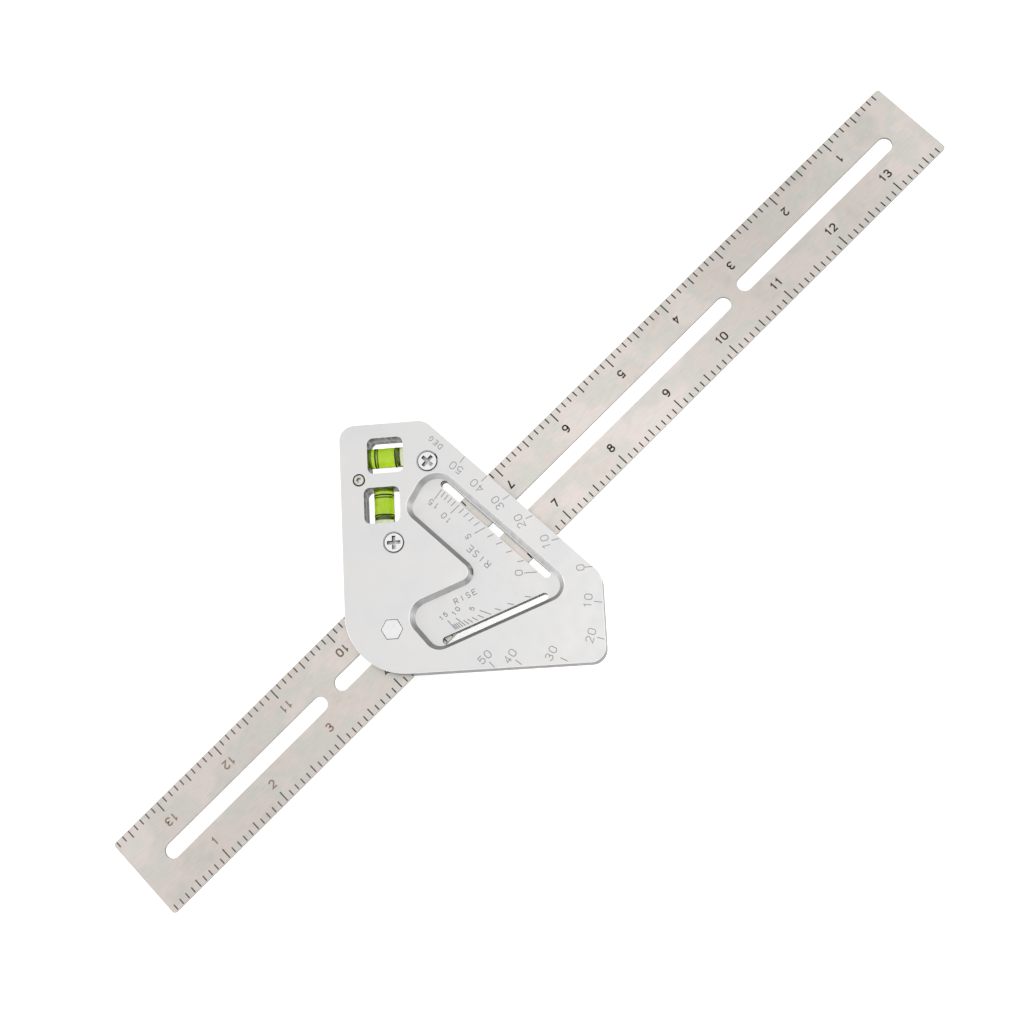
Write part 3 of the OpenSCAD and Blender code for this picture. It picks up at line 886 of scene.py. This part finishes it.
def clamp():
    brass = (0.78, 0.60, 0.30)
    softened("slot_bush", (plain_metal("turned_brass", brass, 0.25),))
    softened("clamp_washer", (plain_metal("zinc_plate", (0.70, 0.70, 0.72), 0.28),))
    softened("spring_washer", (plain_metal("spring_steel", (0.34, 0.34, 0.35), 0.33),))
    softened("knob", (knob_material(),))
    softened("knob_insert", (plain_metal("insert_brass", brass, 0.25),))


# ------------------------------------------------------------------ vials

def ring(bm, along, radius):
    """A ring of vertices about Z, or the one vertex on it where the radius is 0."""
    if radius == 0:
        return [bm.verts.new((0, 0, along))]
    turns = [2 * math.pi * i / TURN_STEPS for i in range(TURN_STEPS)]
    return [bm.verts.new((radius * math.cos(t), radius * math.sin(t), along)) for t in turns]


def lay_along(bm, centre, axis):
    """Moves what was made about Z to centre, and turns it to lie along axis."""
    turn = Vector((0, 0, 1)).rotation_difference(Vector(axis)).to_matrix().to_4x4()
    bmesh.ops.transform(bm, matrix=Matrix.Translation(centre) @ turn, verts=bm.verts)


def turned(name, outline, centre, axis, material):
    """A closed solid turned about an axis through centre; outline is (distance along, radius) pairs."""
    bm = bmesh.new()
    rows = [ring(bm, along, radius) for along, radius in outline]
    for low, high in zip(rows, rows[1:]):
        for i in range(TURN_STEPS):
            j = (i + 1) % TURN_STEPS
            corners = [low[i % len(low)], low[j % len(low)], high[j % len(high)], high[i % len(high)]]
            bm.faces.new(list(dict.fromkeys(corners)))
    for cap in (rows[0][::-1], rows[-1]):
        if len(cap) > 1:
            bm.faces.new(cap)
    lay_along(bm, centre, axis)
    return from_bmesh(name, bm, material)


def band(name, spans, inner, outer, centre, axis, material):
    """Thin rings about an axis, each given as a (start, end) span along it."""
    bm = bmesh.new()
    for start, end in spans:
        section = ((start, inner), (start, outer), (end, outer), (end, inner))
        rows = [ring(bm, along, radius) for along, radius in section]
        for one, two in zip(rows, rows[1:] + rows[:1]):
            for i in range(TURN_STEPS):
                j = (i + 1) % TURN_STEPS
                bm.faces.new((one[i], one[j], two[j], two[i]))
    lay_along(bm, centre, axis)
    return from_bmesh(name, bm, material)


def span_of(node, axis):
    """Length along an axis, and diameter, of a round bar that lies in the X-Y plane."""
    low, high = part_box(node)
    size = high - low
    along, across = abs(axis.x), abs(axis.y)
    return (size.x - size.z * across) / along, size.z


def darken_rim(air, centre, axis, bore):
    """Gives the outer part of the bubble's rounded end its second material, the painted shade of its rim.
    """
    for face in air.data.polygons:
        off_axis = (face.center - centre) - axis * (face.center - centre).dot(axis)
        if off_axis.length > MENISCUS_FROM * bore and abs(face.normal.dot(axis)) > LEANING:
            face.material_index = 1


def one_vial(place, axis, looks):
    """One vial's barrel, liquid, air, bands and two stoppers, along the axis through its node's middle."""
    low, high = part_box(f"{place}_vial")
    centre = (low + high) / 2
    length, width = span_of(f"{place}_vial", axis)
    half, radius = length / 2, width / 2
    bore = radius - VIAL_WALL
    wet = half - PLUG_LEN

    eased = ((half, radius - VIAL_EASE), (half - VIAL_EASE, radius))
    barrel = [(-along, r) for along, r in eased] + list(reversed(eased))
    pieces = [(turned(f"{place}_barrel", barrel, centre, axis, looks["barrel"]), "vial", "vial_acrylic")]

    low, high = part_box(f"{place}_bubble")
    air_start = (low + high).dot(axis) / 2 - centre.dot(axis) - BUBBLE_LEN / 2
    quarter = [math.pi / 2 * i / AIR_DOME_STEPS for i in range(AIR_DOME_STEPS + 1)]
    hollow = [(air_start + AIR_DOME * (1 - math.cos(t)), bore * math.sin(t)) for t in quarter]
    liquid = turned(f"{place}_liquid", [(-wet, bore), *hollow[::-1]], centre, axis, looks["liquid"])
    pieces.append((liquid, "fluid", "vial_fluid"))

    filled = [(along + FILM, r * AIR_FILL) for along, r in hollow]
    air = turned(f"{place}_air", [*filled, (wet - FILM, bore * AIR_FILL)], centre, axis, looks["air"])
    air.data.materials.append(looks["meniscus"])
    darken_rim(air, centre, axis, bore)
    pieces.append((air, "bubble", "vial_air"))

    spans = [(side * RING_GAP / 2 - RING_W / 2, side * RING_GAP / 2 + RING_W / 2) for side in (-1, 1)]
    inner, outer = radius - RING_SUNK, radius + RING_PROUD
    bands = band(f"{place}_bands", spans, inner, outer, centre, axis, looks["bands"])
    pieces.append((bands, "rings", "ring_ink"))

    for index, (start, end) in enumerate(((-half, -wet), (wet, half))):
        outline = [(start, bore), (end, bore)]
        plug = turned(f"{place}_stopper_{index}", outline, centre, axis, looks["stoppers"])
        pieces.append((plug, "plugs", "plug_plastic"))
    for piece, part, slot in pieces:
        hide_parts(f"{place}_{part}")
        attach(piece, "stock")


def vials():
    looks = {
        "barrel": acrylic_material(), "liquid": fluid_material(), "air": air_material(),
        "bands": ring_material(), "stoppers": plug_material(), "meniscus": meniscus_material(),
    }
    u, v = stock_dir(1, 0), stock_dir(0, 1)
    one_vial("upper", Vector((u.x, u.y, 0)), looks)
    one_vial("lower", Vector((-v.x, -v.y, 0)), looks)


# ------------------------------------------------------------------ building the stage

def stage():
    bm = bmesh.new()
    bmesh.ops.create_grid(bm, x_segments=2, y_segments=2, size=FLOOR_HALF)
    bmesh.ops.translate(bm, verts=bm.verts, vec=(0, 0, LOWEST))
    floor = from_bmesh("floor", bm, floor_material())


def area_light(name, place, look_at, size, power):
    data = bpy.data.lights.new(name, "AREA")
    data.shape, data.size, data.energy = "DISK", size, power
    lamp = bpy.data.objects.new(name, data)
    lamp.location = place
    lamp.rotation_euler = (Vector(look_at) - Vector(place)).to_track_quat("-Z", "Y").to_euler()
    bpy.context.scene.collection.objects.link(lamp)


def lights():
    world = bpy.data.worlds.new("studio")
    bpy.context.scene.world = world
    world.use_nodes = True
    sky = world.node_tree.nodes["Background"].inputs
    sky["Color"].default_value = (1, 1, 1, 1)
    sky["Strength"].default_value = WORLD_STRENGTH
    area_light("key", (-0.9, 0.8, 0.55), look_at=(0.05, 0, 0), size=0.7, power=2.0)
    area_light("overhead", (0.26, -0.12, 0.95), look_at=(0.09, 0, 0), size=0.30, power=0.45)


def camera():
    data = bpy.data.cameras.new("camera")
    data.lens, data.sensor_width = LENS, SENSOR
    data.clip_start, data.clip_end = 0.01, 20.0
    made = bpy.data.objects.new("camera", data)
    made.location = Vector(CAMERA_AT_MM) * MM
    made.rotation_euler = [math.radians(t) for t in CAMERA_TURN]
    bpy.context.scene.collection.objects.link(made)
    bpy.context.scene.camera = made


bpy.context.scene.view_settings.view_transform = "Standard"

camera()
stage()
lights()
stock_plates()
blade_piece()
fasteners()
clamp()
vials()
rule_marks()
stock_marks("front", FRONT_FACE, 1)
stock_marks("back", BACK_FACE, -1)
